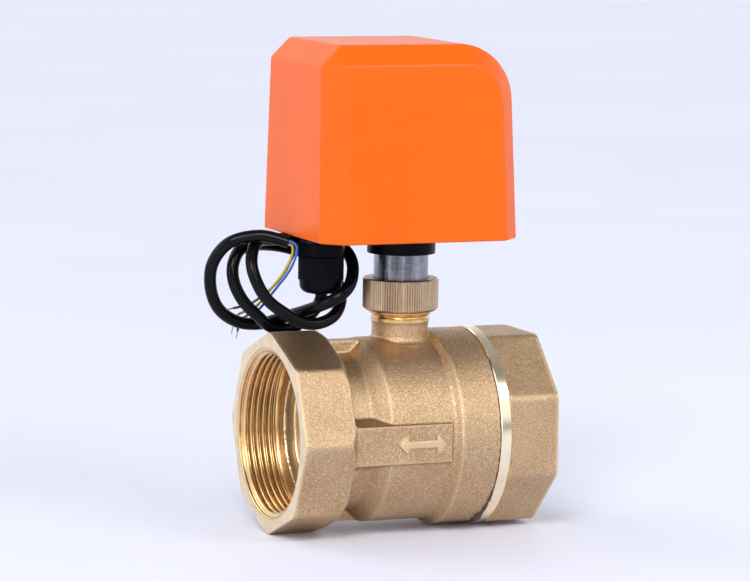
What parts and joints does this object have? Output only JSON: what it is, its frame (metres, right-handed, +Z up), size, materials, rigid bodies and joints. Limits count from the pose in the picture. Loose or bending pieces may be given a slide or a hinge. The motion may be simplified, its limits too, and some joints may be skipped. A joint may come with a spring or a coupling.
{
  "type": "motorized ball valve",
  "caption": "Threaded brass ball valve with a detachable electric actuator in an orange cover, held by a knurled union nut, with a cable gland and a looped cable.",
  "frame": {"origin": "where the pipe axis meets the stem axis, at the centre of the ball", "axes": "+X along the pipe from the inlet to the outlet, +Z up the stem to the actuator, +Y to the back"},
  "size_m": [0.1172, 0.0724, 0.175],
  "materials": {
    "cast_brass": "sand-cast, shot-blasted brass",
    "machined_brass": "turned brass",
    "ball_chrome": "polished chrome plate",
    "ptfe": "white PTFE",
    "joint_paste": "dark sealing compound",
    "stainless": "turned stainless steel",
    "sleeve_metal": "fine-turned steel",
    "black_nylon": "moulded nylon",
    "orange_abs": "satin moulded ABS",
    "black_rubber": "moulded rubber",
    "zinc_steel": "zinc-plated steel",
    "bronze": "sintered bronze",
    "white_acetal": "moulded acetal",
    "motor_steel": "drawn plated steel",
    "switch_black": "moulded thermoset",
    "board_green": "coated laminate",
    "terminal_green": "moulded plastic",
    "film_yellow": "potted film capacitor",
    "cable_pvc": "black PVC sheath",
    "earth_pvc": "yellow and green PVC",
    "neutral_pvc": "blue PVC",
    "live_pvc": "brown PVC",
    "red_pvc": "red PVC"
  },
  "bodies": {
    "valve": {"valve_body": "cast_brass", "end_cap": "cast_brass", "body_gasket": "joint_paste", "inlet_seat": "ptfe", "outlet_seat": "ptfe", "stem_washer": "ptfe", "locating_pin": "stainless"},
    "closure": {"ball": "ball_chrome", "stem": "stainless", "stem_o_rings": "black_rubber"},
    "actuator": {"sleeve": "sleeve_metal", "sleeve_clip": "zinc_steel", "base": "black_nylon", "cover_gasket": "black_rubber", "cover_screws": "zinc_steel", "pillars": "zinc_steel", "motor_plate": "zinc_steel", "plate_screws": "zinc_steel", "lower_bush": "bronze", "upper_bush": "bronze", "idler_arbor": "stainless", "motor_housing": "motor_steel", "motor_screws": "zinc_steel", "open_switch": "switch_black", "closed_switch": "switch_black", "switch_screws": "zinc_steel", "circuit_board": "board_green", "board_standoffs": "machined_brass", "board_screws": "zinc_steel", "terminal_block": "terminal_green", "terminal_screws": "zinc_steel", "capacitor": "film_yellow", "earth_lead": "earth_pvc", "neutral_lead": "neutral_pvc", "live_lead": "live_pvc", "motor_leads": "red_pvc", "gland_body": "black_nylon", "gland_gasket": "black_rubber", "gland_locknut": "black_nylon", "gland_seal": "black_rubber", "gland_nut": "black_nylon", "cable_tail": "cable_pvc", "cable": "cable_pvc", "earth_core": "earth_pvc", "neutral_core": "neutral_pvc", "live_core": "live_pvc"},
    "housing_cover": {"cover": "orange_abs"},
    "washer": {"nut_washer": "white_acetal"},
    "nut": {"union_nut": "machined_brass"},
    "output": {"drive_coupler": "zinc_steel", "output_shaft": "stainless", "output_gear": "white_acetal", "open_cam": "white_acetal", "closed_cam": "white_acetal"},
    "reduction": {"reduction_gear": "white_acetal"},
    "motor_rotor": {"motor_shaft": "stainless", "motor_pinion": "machined_brass"},
    "open_contact": {"open_lever": "stainless"},
    "closed_contact": {"closed_lever": "stainless"}
  },
  "joints": [
    {"name": "ball_turn", "type": "hinge", "parent": "valve", "child": "closure", "pos_m": [0, 0, 0], "axis": [0, 0, 1], "range_deg": [0, 90]},
    {"name": "actuator_lift", "type": "slide", "parent": "valve", "child": "actuator", "axis": [0, 0, 1], "range_m": [0, 0.03]},
    {"name": "cover_lift", "type": "slide", "parent": "actuator", "child": "housing_cover", "axis": [0, 0, 1], "range_m": [0, 0.072]},
    {"name": "nut_climb", "type": "slide", "parent": "actuator", "child": "washer", "axis": [0, 0, 1], "range_m": [0, 0.0084]},
    {"name": "nut_turn", "type": "hinge", "parent": "washer", "child": "nut", "pos_m": [0, 0, 0.048], "axis": [0, 0, 1], "range_deg": [0, 2000]},
    {"name": "output_turn", "type": "hinge", "parent": "actuator", "child": "output", "pos_m": [0, 0, 0.08], "axis": [0, 0, 1], "range_deg": [0, 90]},
    {"name": "reduction_turn", "type": "hinge", "parent": "actuator", "child": "reduction", "pos_m": [0.01995, 0, 0.09], "axis": [0, 0, 1], "range_deg": [-338, 0]},
    {"name": "motor_turn", "type": "hinge", "parent": "actuator", "child": "motor_rotor", "pos_m": [0.011, 0.0078, 0.098], "axis": [0, 0, 1], "range_deg": [0, 811]},
    {"name": "open_lever_press", "type": "hinge", "parent": "actuator", "child": "open_contact", "pos_m": [-0.0096, -0.0123, 0.0775], "axis": [0, 0, 1], "range_deg": [-4.5, 0], "stiffness_Nm_per_rad": 0.01, "springref_deg": 5.73},
    {"name": "closed_lever_press", "type": "hinge", "parent": "actuator", "child": "closed_contact", "pos_m": [-0.0096, -0.0123, 0.0835], "axis": [0, 0, 1], "range_deg": [-4.5, 0], "stiffness_Nm_per_rad": 0.01, "springref_deg": 5.73}
  ],
  "couplings": [
    {"joint": "output_turn", "follows": "ball_turn", "ratio": 1},
    {"joint": "reduction_turn", "follows": "ball_turn", "ratio": -3.75},
    {"joint": "motor_turn", "follows": "ball_turn", "ratio": 9},
    {"joint": "nut_climb", "follows": "nut_turn", "m_per_rad": 0.00023873}
  ]
}
